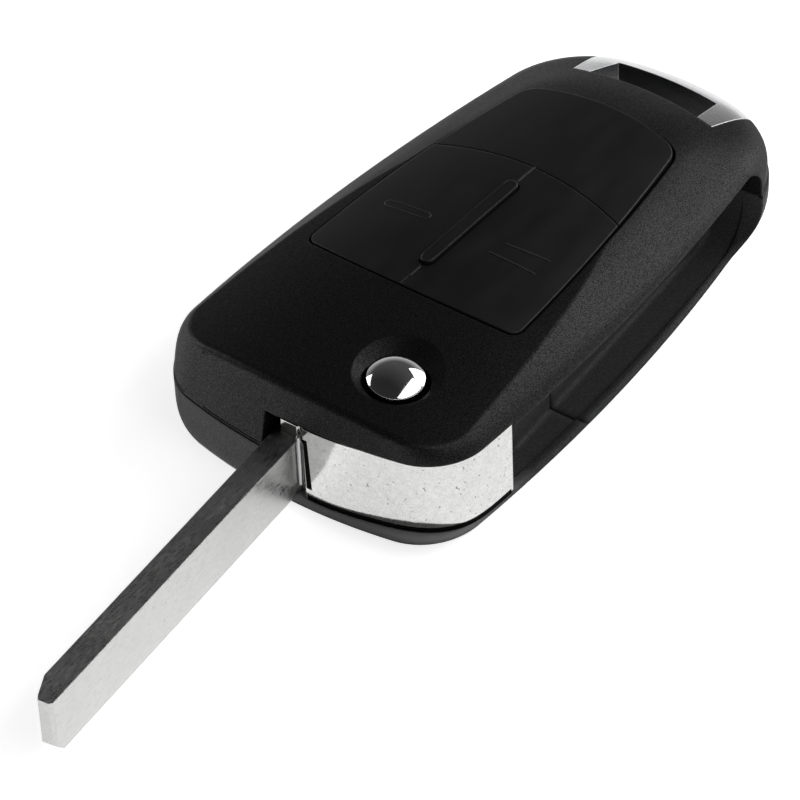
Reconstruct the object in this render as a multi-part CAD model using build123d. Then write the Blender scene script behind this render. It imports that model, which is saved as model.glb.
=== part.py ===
from build123d import *
import os
from math import cos, hypot, radians, sin, sqrt, tan

# Flip key remote shell, shown open. Millimetres.
# X runs to the key-ring end, the blade tip points to -X, -Y is the blade channel's side, Z goes up
# through the buttons. Lengths along X are measured from the case's front end, and build() then
# moves every piece so that the origin is the middle of the flat back face.

# Case size
LENGTH = 70.0
HALF_WIDTH = 19.0
HEIGHT = 16.5
PART_Z = 7.5
SPLIT_X = 26.5
WALL = 1.5
SEAM = 0.24
SEAM_DEPTH = 0.6
FAR = LENGTH + HALF_WIDTH + HEIGHT

# Plan outline at the widest level: front arc, side arcs, rear arc and corners
FRONT_R = 60.0
SIDE_APEX_X = 18.0
SIDE_DRAW_IN = 4.77
REAR_R = 33.0
FRONT_CORNER = 7.0
REAR_CORNER = 11.5

# Rounding of the lower case, tighter at the front than at the rear
LOW_FRONT_ROUND = 3.0
LOW_SIDE_ROUND = 4.4
LOW_REAR_ROUND = 6.2
LOW_DRAW_IN = 1.4
LOW_FRONT_CORNER = 5.0
LOW_REAR_CORNER = 7.5
INNER_ROUND = 4.3

# Plan outline of the shoulder, where the bevel meets the crowned top
SHOULDER_DROP = 1.75
SHOULDER_Z = HEIGHT - SHOULDER_DROP
SHOULDER_FRONT = 1.7
SHOULDER_SIDE = 4.0
SHOULDER_HALF = HALF_WIDTH - SHOULDER_SIDE
SHOULDER_APEX_X = 14.0
SHOULDER_DRAW_IN = 6.23
SHOULDER_BACK = 10.4
SHOULDER_REAR = LENGTH - SHOULDER_BACK
SHOULDER_REAR_R = 30.0
SHOULDER_FRONT_CORNER = 5.0
SHOULDER_REAR_CORNER = 8.0
SHOULDER_SOFT = 0.8
BEVEL_HEIGHT = 2.9
BEVEL_BLEND = 0.45
CORNER_LIMIT = 0.96

# Crowned top: cross radius, lengthwise radius and where it is highest
CROWN_R = 60.0
CROWN_LONG_R = 400.0
CROWN_X = LENGTH / 2

# Button pad and the flange that holds it from below
PAD_FRONT = 21.1
PAD_FROM_REAR = 16.0
PAD_REAR = LENGTH - PAD_FROM_REAR
PAD_FRONT_HALF = SHOULDER_HALF - 1.85
PAD_REAR_HALF = SHOULDER_HALF - 5.55
PAD_FRONT_BOW = 1.5
PAD_REAR_BOW = 1.45
PAD_SIDE_BOW = 0.74
PAD_FRONT_CORNER = 1.3
PAD_REAR_CORNER = 2.6
PAD_GAP = 0.24
PAD_PROUD = 0.05
FLANGE_DEPTH = 4.1
FLANGE_LOW = HEIGHT - FLANGE_DEPTH
FLANGE_T = 0.9
FLANGE_GROW = 1.0
FLANGE_ROOM = 1.3
WINDOW_INSET = 1.2
PAD_LOW = FLANGE_LOW + 0.5
FIELD_LENGTH = 11.8
KEY_ARC_X = PAD_REAR - FIELD_LENGTH
KEY_ARC_R = 42.5
KEY_GAP = 0.14
KEY_LIFT = 1.0
KEY_TRAVEL = 0.4
CAPSULE_X0 = PAD_FRONT + 2.2
CAPSULE_X1 = KEY_ARC_X - 3.4
CAPSULE_W = 1.5
CAPSULE_PROUD = 0.45
CAPSULE_GAP = 0.15

# Keypad mat under the two keys
NUB_X = (PAD_FRONT + KEY_ARC_X) / 2 - 0.15
MAT_X0 = NUB_X - 5.3
MAT_X1 = KEY_ARC_X + 3.8
MAT_HALF = PAD_REAR_HALF
MAT_T = 0.7
MAT_CORNER = 2.0
NUB_Y = 5.6
NUB_R = 3.2

# Flip axis, hub pocket and blade channel
PIVOT_X = 9.0
PIVOT_FROM_SIDE = 11.5
PIVOT_Y = PIVOT_FROM_SIDE - HALF_WIDTH
POCKET_R = 11.8
POCKET_FLOOR = 1.5
RIM_Z = 1.8
RIM_WIDTH = 2.3
POCKET_TOP = FLANGE_LOW - 0.9
EXIT_TOP = POCKET_TOP - 0.1
CHANNEL_TOP = POCKET_TOP - 0.25
CHANNEL_FROM_REAR = 9.6
CHANNEL_END = LENGTH - CHANNEL_FROM_REAR
NOTCH_REACH = 10.25
NOTCH_Y = PIVOT_Y + NOTCH_REACH
FOLD_ANGLE = 5.0
CHANNEL_WALL_GAP = 0.4
CHANNEL_START = PIVOT_X + 3.0
CHANNEL_TOP_ROUND = 2.2
CHANNEL_LOW_ROUND = 5.0

# Hub, in plan as offsets from the flip axis along its visible flank
HUB_FLANK = [(-7.85, 5.75), (-7.65, 2.5), (-6.75, -2.1), (-4.8, -7.1), (-2.3, -9.4), (1.2, -10.25), (4.9, -10.35)]
HUB_LOW = 1.9
HUB_HIGH = POCKET_TOP - 0.4
CUP_R = 4.3
CUP_FLOOR = 4.2
SEAT_FIT = 0.02
SHOULDER_CUT_X = -7.0
GROOVE_X = -6.6
GROOVE_DEPTH = 0.95
GROOVE_LIFT = 1.0
POST_R = 2.5
POST_FIT = 0.05

# Blade
SPLAY = 6.0
BLADE_NEAR = 7.57
BLADE_THICK = 2.88
BLADE_LOW = 2.1
BLADE_COVER = 2.3
BLADE_HIGH = HUB_HIGH - BLADE_COVER
BLADE_END_GAP = 2.5
BLADE_REACH = (CHANNEL_END - PIVOT_X) / cos(radians(FOLD_ANGLE)) - BLADE_END_GAP
BLADE_ROOT = 5.0
NOSE_SMALL = 0.35
NOSE_LENGTH = 3.0
NOSE_STEP = 0.5
NOSE_SIDE = 1.0
NOSE_END = 1.3
NOSE_RISE = 1.2

# Release button and its stem, whose wings lock the hub
CAP_R = 2.95
CAP_HOLE_R = 3.45
CAP_SINK = 0.55
CAP_RISE = 0.95
CAP_SKIRT = 1.4
CAP_TOP_Z = HEIGHT - CAP_SINK
CAP_RIM_Z = CAP_TOP_Z - CAP_RISE
CAP_LOW = CAP_RIM_Z - CAP_SKIRT
CAP_SEAT = 0.4
CAP_SOFT = 0.35
STEM_LOW = 6.4
STEM_R = 2.0
STEM_DISC_R = 4.1
STEM_DISC_LOW = HUB_HIGH - 1.7
STEM_DISC_T = 1.0
NECK_R = 2.4
WING_HALF = 5.6
WING_W = 2.0
WING_TOP = HUB_HIGH + 0.25
WING_LOW = WING_TOP - 1.45
PRESS_TRAVEL = 1.5
KEYWAY_W = 2.3
KEYWAY_R = 5.8
KEYWAY_FLOOR = WING_LOW - PRESS_TRAVEL - 0.1

# Shallow finger dish round the release button
DISH_SHIFT_X = 0.9
DISH_SHIFT_Y = 0.4
DISH_R = 4.9
DISH_DEPTH = 0.9
DISH_LOW_R = 2.8

# Lock plate over the hub
PLATE_R = 7.2
PLATE_T = 0.8
PLATE_NOTCH_HALF = 5.9
PLATE_NOTCH_W = 2.6

# Spring and washer in the hub cup
WASHER_R = 4.1
WASHER_HOLE_R = 2.4
WASHER_T = 0.4
SPRING_WIRE_R = 0.4
SPRING_R = 3.5
SPRING_TURNS = 4.0
SPRING_SLACK = 0.1

# Hollow for the electronics and the battery, and the small one for the chip tray
BAY_X0 = SPLIT_X - 0.7
BAY_X1 = CHANNEL_END - 2.2
BAY_TAPER = 24.0
BAY_WALL = 1.3
COVER_FRONT_WALL = 1.4
CHIP_X0 = 4.0
CHIP_X1 = 21.2
CHIP_FROM_PIVOT = 13.4
CHIP_Y = PIVOT_Y + CHIP_FROM_PIVOT
CHIP_TOP = FLANGE_LOW - 1.6
CHIP_WALL = 1.9
POCKET_WALL = 1.2
TRAY_X0 = 10.4
TRAY_X1 = 20.6
TRAY_W = 6.4
TRAY_Y0 = CHIP_Y + 0.5
TRAY_Y1 = TRAY_Y0 + TRAY_W
TRAY_H = 3.6
TRAY_WALL = 0.7

# Case screws, driven from the back
SCREW_FRONT = 7.4
SCREW_FROM_SIDE = 7.8
SCREW_FROM_SPLIT = 3.0
SCREW_REAR_Y = 9.5
SCREW_PAST_PIVOT = (14.4, -3.1)
SCREW_SPOTS = [(SCREW_FRONT, HALF_WIDTH - SCREW_FROM_SIDE), (SPLIT_X - SCREW_FROM_SPLIT, SCREW_REAR_Y),
               (PIVOT_X + SCREW_PAST_PIVOT[0], PIVOT_Y + SCREW_PAST_PIVOT[1])]
SCREW_R = 0.65
SCREW_HEAD_R = 1.5
SCREW_HEAD_LOW = 0.35
SCREW_SEAT_Z = 1.3
SCREW_TOP = FLANGE_LOW - 1.0
SCREW_FIT = 0.1
CROSS_LENGTH = 2.0
CROSS_WIDTH = 0.4
CROSS_DEPTH = 0.45
BOSS_R = 2.0

# Pivot post
POST_LOW = 0.5
POST_HIGH = 3.2
POST_NECK_R = 1.25
POST_ROOM = 0.3

# Roll pin through the blade
PIN_R = 0.75
PIN_X = -1.5
PIN_LOW = 3.0
PIN_HIGH = HUB_HIGH - 0.3

# Snap tabs inside the battery cover
TAB_LENGTH = 6.0
TAB_FRONT_GAP = 5.5
TAB_REAR_GAP = 4.2
TAB_STARTS = [SPLIT_X + TAB_FRONT_GAP, BAY_X1 - TAB_REAR_GAP - TAB_LENGTH]
TAB_ROOT_Z = 4.0
TAB_TOP_Z = PART_Z + 1.7
TAB_INSET = 2.5
TAB_T = 1.0
TAB_LAP = 0.3

# Key-ring end
RING_LENGTH = 8.8
RING_X = LENGTH - RING_LENGTH
RING_HALF = 8.9
RING_FLARE = 0.13
RING_GAP = 0.06
RING_THICK = 3.6
SLOT_WIDTH = 4.4
SLOT_REAR = LENGTH - RING_THICK
SLOT_FRONT = SLOT_REAR - SLOT_WIDTH
SLOT_HALF = 7.1
SLOT_LEAD = 1.0
SLOT_REAR_CORNER_X = SLOT_REAR - 0.5
SLOT_REAR_CORNER_Y = SLOT_HALF - 0.75
FOOT_X = RING_X - 2.3
FOOT_Y0 = 7.35
FOOT_Y1 = 8.75
FOOT_Z0 = PART_Z + 0.7
FOOT_Z1 = FOOT_Z0 + 3.2


def circle_meet(c1, r1, c2, r2, near):
    dx = c2[0] - c1[0]
    dy = c2[1] - c1[1]
    dist = hypot(dx, dy)
    along = (dist * dist + r1 * r1 - r2 * r2) / (2 * dist)
    high = sqrt(max(r1 * r1 - along * along, 0.0))
    mx = c1[0] + dx * along / dist
    my = c1[1] + dy * along / dist
    found = [(mx - dy * high / dist, my + dx * high / dist), (mx + dy * high / dist, my - dx * high / dist)]
    return min(found, key=lambda q: hypot(q[0] - near[0], q[1] - near[1]))


def through(centre, radius, point):
    dx = point[0] - centre[0]
    dy = point[1] - centre[1]
    scale = radius / hypot(dx, dy)
    return (centre[0] + dx * scale, centre[1] + dy * scale)


def flip(point):
    return (point[0], -point[1])


def arc_radius(reach, draw_in):
    """Radius of an arc that leaves its tangent by draw_in over reach."""
    return (reach ** 2 + draw_in ** 2) / (2 * draw_in)


# Case outlines

def outline(front, front_r, half, apex, side_r, rear, rear_r, corner_f, corner_r):
    """Plan outline of eight tangent arcs, as a face at Z = 0."""
    cf = (front + front_r, 0.0)
    cs = (apex, half - side_r)
    cr = (rear - rear_r, 0.0)
    k1 = circle_meet(cf, front_r - corner_f, cs, side_r - corner_f, (front + corner_f, half - corner_f))
    k2 = circle_meet(cr, rear_r - corner_r, cs, side_r - corner_r, (rear - corner_r, half - corner_r))
    a = through(cf, front_r, k1)
    b = through(cs, side_r, k1)
    c = through(cs, side_r, k2)
    d = through(cr, rear_r, k2)
    m1 = through(k1, corner_f, (k1[0] - 1, k1[1] + 1))
    m2 = (apex, half)
    m3 = through(k2, corner_r, ((c[0] + d[0]) / 2, (c[1] + d[1]) / 2))
    edges = [
        ThreePointArc(a, (front, 0.0), flip(a)),
        ThreePointArc(flip(a), flip(m1), flip(b)),
        ThreePointArc(flip(b), flip(m2), flip(c)),
        ThreePointArc(flip(c), flip(m3), flip(d)),
        ThreePointArc(flip(d), (rear, 0.0), d),
        ThreePointArc(d, m3, c),
        ThreePointArc(c, m2, b),
        ThreePointArc(b, m1, a),
    ]
    return make_face(Curve() + edges)


def case_outline(inset=0.0):
    side_r = arc_radius(LENGTH - SIDE_APEX_X, SIDE_DRAW_IN)
    return outline(inset, FRONT_R - inset, HALF_WIDTH - inset, SIDE_APEX_X, side_r - inset,
                   LENGTH - inset, REAR_R - inset, FRONT_CORNER - min(inset, 4), REAR_CORNER - min(inset, 6))


def mix(low, high, s):
    return low + (high - low) * s


def bevel_share(z):
    """0 at the parting and 1 at the shoulder: an upright wall that turns softly into a flat bevel."""
    def turned(level):
        line = 1 + (level - SHOULDER_Z) / BEVEL_HEIGHT
        return (line + hypot(line, BEVEL_BLEND)) / 2
    return (turned(z) - turned(PART_Z)) / (turned(SHOULDER_Z) - turned(PART_Z))


def bevel_outline(z):
    """Outline of the upper case at one height, between the widest outline and the shoulder's."""
    s = bevel_share(z)
    front = SHOULDER_FRONT * (z - PART_Z) / (SHOULDER_Z - PART_Z)
    wide_r = arc_radius(LENGTH - SIDE_APEX_X, SIDE_DRAW_IN)
    shoulder_r = arc_radius(SHOULDER_REAR - SHOULDER_APEX_X, SHOULDER_DRAW_IN)
    side_r = 1 / mix(1 / wide_r, 1 / shoulder_r, s)
    half = mix(HALF_WIDTH, SHOULDER_HALF, s)
    apex = mix(SIDE_APEX_X, SHOULDER_APEX_X, s)
    rear = mix(LENGTH, SHOULDER_REAR, s)
    rear_half = half - (rear - apex) ** 2 / (2 * side_r)
    rear_corner = min(mix(REAR_CORNER, SHOULDER_REAR_CORNER, s), CORNER_LIMIT * rear_half)
    return outline(front, FRONT_R, half, apex, side_r, rear, mix(REAR_R, SHOULDER_REAR_R, s),
                   mix(FRONT_CORNER, SHOULDER_FRONT_CORNER, s), rear_corner)


def round_inset(z, r):
    """How far a rounding of radius r has drawn the wall in at height z above its foot."""
    return r - sqrt(r * r - (r - z) ** 2) if z < r else 0.0


def low_outline(z):
    """Outline of the lower case at one height, each side rounded by its own radius."""
    front = round_inset(z, LOW_FRONT_ROUND)
    side = round_inset(z, LOW_SIDE_ROUND)
    rear = round_inset(z, LOW_REAR_ROUND)
    draw_in = SIDE_DRAW_IN + LOW_DRAW_IN * (rear - side)
    return outline(front, FRONT_R, HALF_WIDTH - side, SIDE_APEX_X,
                   arc_radius(LENGTH - SIDE_APEX_X, draw_in), LENGTH - rear, REAR_R,
                   mix(FRONT_CORNER, LOW_FRONT_CORNER, front / LOW_FRONT_ROUND),
                   mix(REAR_CORNER, LOW_REAR_CORNER, rear / LOW_REAR_ROUND))


def crown(lift=0.0):
    """Everything under the crowned top, a doubly curved surface."""
    low = -6.0
    half = HALF_WIDTH + 7
    axis_z = HEIGHT - CROWN_LONG_R
    edge = HEIGHT - CROWN_R + sqrt(CROWN_R ** 2 - half ** 2)
    top = ThreePointArc((-half, edge), (0, HEIGHT), (half, edge))
    sides = Polyline((half, edge), (half, low), (-half, low), (-half, edge))
    face = Plane.YZ * make_face(Curve() + [top, sides])
    spin = Axis((0, 0, axis_z), (0, 1, 0))
    solid = revolve(face.rotate(spin, -7), spin, 14)
    return Pos(CROWN_X, 0, lift) * solid


def upper_outer(top):
    """Outside of the case above the parting line: a lofted bevel under the crowned top."""
    wall = SHOULDER_Z - PART_Z
    levels = [PART_Z + wall * t for t in (0, 0.25, 0.5, 0.65, 0.8, 1, 1.26)]
    body = loft([Pos(0, 0, z) * bevel_outline(z) for z in levels]) & top
    crowned = body.faces().filter_by(lambda f: f.center().Z > SHOULDER_Z).sort_by(SortBy.AREA)[-1]
    return fillet(crowned.outer_wire().edges(), SHOULDER_SOFT)


def lower_outer():
    """Outside of the case below the parting line, lofted so that its rounding grows to the rear."""
    levels = [LOW_SIDE_ROUND * t for t in (0, 0.07, 0.29, 0.62, 1)] + [LOW_REAR_ROUND, PART_Z]
    return loft([Pos(0, 0, z) * low_outline(z) for z in levels])


def slab(points, z0, z1):
    return Pos(0, 0, z0) * extrude(make_face(Polyline(*points, close=True)), z1 - z0)


def block(x0, x1, y0, y1, z0, z1):
    return Pos(x0, y0, z0) * Box(x1 - x0, y1 - y0, z1 - z0, align=(Align.MIN, Align.MIN, Align.MIN))


def cutter(x0=-FAR, x1=FAR, y0=-FAR, y1=FAR, z0=-FAR, z1=FAR):
    """A box that reaches past the whole case on every side that isn't given."""
    return block(x0, x1, y0, y1, z0, z1)


def rod(x, y, r, z0, z1):
    return Pos(x, y, z0) * Cylinder(r, z1 - z0, align=(Align.CENTER, Align.CENTER, Align.MIN))


def at_pivot(r, z0, z1):
    return rod(PIVOT_X, PIVOT_Y, r, z0, z1)


# Channel and pocket

def wall_y(x):
    """The channel's back wall, beside the folded blade."""
    foot_x = PIVOT_X + BLADE_NEAR * sin(radians(FOLD_ANGLE))
    foot_y = PIVOT_Y - BLADE_NEAR * cos(radians(FOLD_ANGLE))
    return foot_y + CHANNEL_WALL_GAP + (x - foot_x) * tan(radians(FOLD_ANGLE))


def channel_tool(floor):
    """Blade channel, rounded at its rear end, cut outwards from the inclined back wall."""
    x0 = CHANNEL_START
    turn = radians(FOLD_ANGLE)
    wall = Plane(origin=(x0, wall_y(x0), 0), x_dir=(cos(turn), sin(turn), 0), z_dir=(sin(turn), -cos(turn), 0))
    run = (CHANNEL_END - x0) / cos(turn)
    shape = make_face(Polyline((0, floor), (run, floor), (run, CHANNEL_TOP), (0, CHANNEL_TOP), close=True))
    rear = shape.vertices().group_by(Axis.X)[-1].sort_by(Axis.Y)
    shape = fillet(rear[-1], CHANNEL_TOP_ROUND)
    low = shape.vertices().group_by(Axis.X)[-1].sort_by(Axis.Y)
    shape = fillet(low[0], CHANNEL_LOW_ROUND)
    return extrude(wall * shape, HALF_WIDTH - 5)


def swing_tool():
    """Room for the hub and the swinging blade, with the floor set below the outer rim."""
    inner = Pos(0, 0, -1) * extrude(case_outline(RIM_WIDTH), HEIGHT + 4)
    front = cutter(x1=CHANNEL_START + 1, y1=NOTCH_Y, z0=RIM_Z, z1=EXIT_TOP)
    room = front + at_pivot(POCKET_R, RIM_Z, POCKET_TOP) + channel_tool(RIM_Z)
    floor = (at_pivot(POCKET_R, POCKET_FLOOR, POCKET_TOP) + channel_tool(POCKET_FLOOR)) & inner
    return room + floor


def ring_zone(grow):
    """The key-ring end piece in plan: two ears either side of the slot, and all behind them."""
    far = LENGTH + 6
    flare = RING_HALF + RING_FLARE * (far - RING_X)
    start = RING_X - grow
    points = [(start, -RING_HALF - grow), (far, -flare - grow), (far, flare + grow), (start, RING_HALF + grow)]
    slot_side = (start + 0.15, SLOT_HALF)
    front = ThreePointArc(slot_side, (SLOT_FRONT, 0), flip(slot_side))
    lines = Polyline(flip(slot_side), *points, slot_side)
    return Pos(0, 0, -2) * extrude(make_face(Curve() + [front, lines]), HEIGHT + 8)


def ring_slot():
    lead = (RING_X - SLOT_LEAD, SLOT_HALF)
    rear = (SLOT_REAR_CORNER_X, SLOT_REAR_CORNER_Y)
    back = ThreePointArc(flip(rear), (SLOT_REAR, 0), rear)
    lines = Polyline(rear, lead, flip(lead), flip(rear))
    return Pos(0, 0, -2) * extrude(make_face(Curve() + [back, lines]), HEIGHT + 8)


def ring_feet(grow):
    """Two tongues that hold the ring bar in the upper case."""
    foot = block(FOOT_X - grow, SLOT_FRONT, FOOT_Y0 - grow, FOOT_Y1 + grow, FOOT_Z0 - grow, FOOT_Z1 + grow)
    return foot + mirror(foot, about=Plane.XZ)


# Pad outlines

def pad_face(grow=0.0):
    """Plan of the button pad: bowed sides, arched front and rear, small corners."""
    xf = PAD_FRONT - grow
    xr = PAD_REAR + grow
    yf = PAD_FRONT_HALF + grow
    yr = PAD_REAR_HALF + grow
    xm = (xf + xr) / 2
    ym = (yf + yr) / 2 + PAD_SIDE_BOW
    edges = [
        ThreePointArc((xf, yf), (xf - PAD_FRONT_BOW, 0), (xf, -yf)),
        ThreePointArc((xf, -yf), (xm, -ym), (xr, -yr)),
        ThreePointArc((xr, -yr), (xr + PAD_REAR_BOW, 0), (xr, yr)),
        ThreePointArc((xr, yr), (xm, ym), (xf, yf)),
    ]
    face = make_face(Curve() + edges)
    corners = face.vertices().sort_by(Axis.X)
    face = fillet(corners[:2], PAD_FRONT_CORNER + grow)
    corners = face.vertices().sort_by(Axis.X)
    return fillet(corners[-2:], PAD_REAR_CORNER + grow)


def pad_block(grow, z0, lift=PAD_PROUD):
    return (Pos(0, 0, z0) * extrude(pad_face(grow), HEIGHT + 2 - z0)) & crown(lift)


def behind_arc(shift):
    """All behind the arc that parts the plain field from the two keys."""
    x = KEY_ARC_X + shift
    disc = Pos(x - KEY_ARC_R, 0, 0) * Cylinder(KEY_ARC_R, 2 * FAR)
    return cutter(x0=x - KEY_ARC_R / 2) - disc


def capsule(grow, z0, z1):
    x0 = CAPSULE_X0 + CAPSULE_W / 2
    x1 = CAPSULE_X1 - CAPSULE_W / 2
    r = CAPSULE_W / 2 + grow
    return block(x0, x1, -r, r, z0, z1) + rod(x0, 0, r, z0, z1) + rod(x1, 0, r, z0, z1)


def crown_z(x, y):
    """Height of the crowned top over a point in plan."""
    r = CROWN_LONG_R - (CROWN_R - sqrt(CROWN_R ** 2 - y * y))
    return HEIGHT - CROWN_LONG_R + sqrt(r * r - (x - CROWN_X) ** 2)


def dish_tool():
    """Shallow conical finger dish round the release button, square to the crowned top."""
    x = PIVOT_X + DISH_SHIFT_X
    y = PIVOT_Y + DISH_SHIFT_Y
    lean = (crown_z(x - 1, y) - crown_z(x + 1, y), crown_z(x, y - 1) - crown_z(x, y + 1), 2)
    top = Plane(origin=(x, y, crown_z(x, y)), x_dir=(2, 0, -lean[0]), z_dir=lean)
    slope = (DISH_R - DISH_LOW_R) / DISH_DEPTH
    rise = DISH_DEPTH + 0.5
    bowl = Cone(DISH_LOW_R, DISH_LOW_R + slope * rise, rise, align=(Align.CENTER, Align.CENTER, Align.MIN))
    return top * Pos(0, 0, -DISH_DEPTH) * bowl


def lock_plate_blank(z0, z1):
    return at_pivot(PLATE_R, z0, z1)


# Housing pieces

def bay_plan(x0, z0, z1):
    """The electronics bay in plan: a wall's thickness clear of the blade channel."""
    plan = [(x0, wall_y(x0) + BAY_WALL), (BAY_X1, wall_y(BAY_X1) + BAY_WALL), (BAY_X1, FAR), (x0, FAR)]
    return slab(plan, z0, z1)


def chip_room(inner, z0, z1):
    """The small hollow beside the hub for the chip tray, cut from the case's inner form."""
    room = inner & block(CHIP_X0, CHIP_X1, CHIP_Y, FAR, z0, z1)
    return room - at_pivot(POCKET_R + POCKET_WALL, -1, HEIGHT) - rod(*SCREW_SPOTS[0], BOSS_R, -1, HEIGHT)


def upper_case():
    body = upper_outer(crown() - dish_tool() - at_pivot(CAP_HOLE_R, POCKET_TOP - 1, FAR))
    hollow = Pos(0, 0, PART_Z - 0.01) * extrude(case_outline(WALL), FLANGE_LOW - PART_Z + 0.02, taper=BAY_TAPER)
    body -= hollow & bay_plan(BAY_X0, PART_Z - 1, HEIGHT)
    body -= Pos(0, 0, FLANGE_LOW) * extrude(pad_face(FLANGE_ROOM), FLANGE_T + 0.1)
    body -= Pos(0, 0, FLANGE_LOW + FLANGE_T / 2) * extrude(pad_face(PAD_GAP), HEIGHT)
    inner = extrude(case_outline(CHIP_WALL), HEIGHT)
    body -= chip_room(inner, PART_Z - 0.01, CHIP_TOP)
    body -= swing_tool()
    body -= ring_zone(RING_GAP) + ring_feet(RING_GAP)
    body -= lock_plate_blank(POCKET_TOP - 0.01, POCKET_TOP + PLATE_T)
    for x, y in SCREW_SPOTS:
        body -= rod(x, y, SCREW_R, PART_Z - 1, SCREW_TOP + 0.2)
    return body.fix()


def lower_shell():
    """Both lower pieces before they are parted across."""
    return lower_outer() - ring_zone(RING_GAP) - swing_tool()


def lower_inner():
    """Inner form of the lower case, an even wall inside its rounded bottom."""
    body = Pos(0, 0, WALL) * extrude(case_outline(WALL), HEIGHT)
    low = body.faces().sort_by(Axis.Z)[0]
    return fillet(low.edges(), INNER_ROUND)


def seam_groove():
    """Shadow line round the parting, cut into the lower pieces."""
    outer = Pos(0, 0, PART_Z - SEAM) * extrude(case_outline(-1), SEAM + 0.1)
    return outer - Pos(0, 0, PART_Z - 2) * extrude(case_outline(SEAM_DEPTH), 4)


def lower_front_case(shell):
    body = shell & cutter(x1=SPLIT_X - SEAM / 2)
    body -= seam_groove()
    body -= chip_room(lower_inner(), 0, PART_Z + 1)
    body -= at_pivot(POST_NECK_R, -1, POST_HIGH)
    for x, y in SCREW_SPOTS:
        body -= rod(x, y, SCREW_R + SCREW_FIT, -1, HEIGHT)
        body -= rod(x, y, SCREW_HEAD_R + SCREW_FIT, -1, SCREW_SEAT_Z)
    return body


def snap_tab(x0):
    """A tab that stands up from the cover's side wall into the upper case."""
    span = block(x0, x0 + TAB_LENGTH, 0, FAR, 0, HEIGHT)
    back = extrude(case_outline(TAB_INSET + TAB_T), HEIGHT)
    root = Pos(0, 0, TAB_ROOT_Z) * extrude(case_outline(WALL - 0.1), PART_Z - TAB_LAP - TAB_ROOT_Z)
    top = Pos(0, 0, TAB_ROOT_Z) * extrude(case_outline(TAB_INSET), TAB_TOP_Z - TAB_ROOT_Z)
    return ((root + top) - back) & span


def battery_cover(shell):
    body = shell & cutter(x0=SPLIT_X + SEAM / 2)
    body -= seam_groove()
    body -= lower_inner() & bay_plan(SPLIT_X + COVER_FRONT_WALL, 0, HEIGHT)
    for x0 in TAB_STARTS:
        body += snap_tab(x0)
    return body


def ring_bar():
    body = (upper_outer(crown()) + lower_outer()) & ring_zone(0)
    return body - ring_slot() + ring_feet(0)


# Button pieces

def pad_plate():
    """The pad's plain field with the rib between the keys, on a flange under the case."""
    body = pad_block(0, PAD_LOW) & behind_arc(0)
    flange = Pos(0, 0, FLANGE_LOW) * extrude(pad_face(FLANGE_GROW), FLANGE_T)
    window = Pos(0, 0, FLANGE_LOW - 1) * extrude(pad_face(-WINDOW_INSET), 4) - behind_arc(-FLANGE_GROW)
    spine = block(PAD_FRONT - 1, KEY_ARC_X + 1, -CAPSULE_W / 2, CAPSULE_W / 2, FLANGE_LOW, FLANGE_LOW + FLANGE_T)
    rib = capsule(0, FLANGE_LOW, HEIGHT + 4) & crown(CAPSULE_PROUD)
    return body + (flange - window) + spine + rib


def key(side):
    body = pad_block(0, PAD_LOW + KEY_LIFT) - behind_arc(-KEY_GAP) - capsule(CAPSULE_GAP, 0, HEIGHT + 4)
    body = body & cutter(y0=KEY_GAP / 2)
    return body if side > 0 else mirror(body, about=Plane.XZ)


def keypad_mat():
    """Silicone mat with a nub under each key."""
    sheet = block(MAT_X0, MAT_X1, -MAT_HALF, MAT_HALF, FLANGE_LOW - MAT_T, FLANGE_LOW)
    sheet = fillet(sheet.edges().filter_by(Axis.Z), MAT_CORNER)
    for side in (1, -1):
        sheet += rod(NUB_X, side * NUB_Y, NUB_R, FLANGE_LOW - MAT_T, PAD_LOW + KEY_LIFT - KEY_TRAVEL)
    return sheet


# Flip mechanism

def hub_plan():
    """Hub in plan: the visible bowed flank, and the same flank turned half round."""
    flank = [(PIVOT_X + x, PIVOT_Y + y) for x, y in HUB_FLANK]
    partner = [(PIVOT_X - x, PIVOT_Y - y) for x, y in HUB_FLANK]
    edges = [Spline(*flank), Line(flank[-1], partner[0]), Spline(*partner), Line(partner[-1], flank[0])]
    return make_face(Curve() + edges)


def blade_plane(z=0.0):
    """Frame of the open blade: x away from the tip, y away from the flip axis."""
    turn = radians(SPLAY)
    return Plane(origin=(PIVOT_X, PIVOT_Y, z), x_dir=(cos(turn), sin(turn), 0), z_dir=(0, 0, 1))


def blade_box(x0, x1, y0, y1, z0, z1):
    """A box in the blade's own frame."""
    size = Box(x1 - x0, y1 - y0, z1 - z0, align=(Align.MIN, Align.MIN, Align.MIN))
    return blade_plane(z0) * Pos(x0, y0, 0) * size


def pin_rod(r, z0, z1):
    spot = Pos(PIN_X, BLADE_NEAR + BLADE_THICK / 2, 0)
    return blade_plane(z0) * spot * Cylinder(r, z1 - z0, align=(Align.CENTER, Align.CENTER, Align.MIN))


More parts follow.
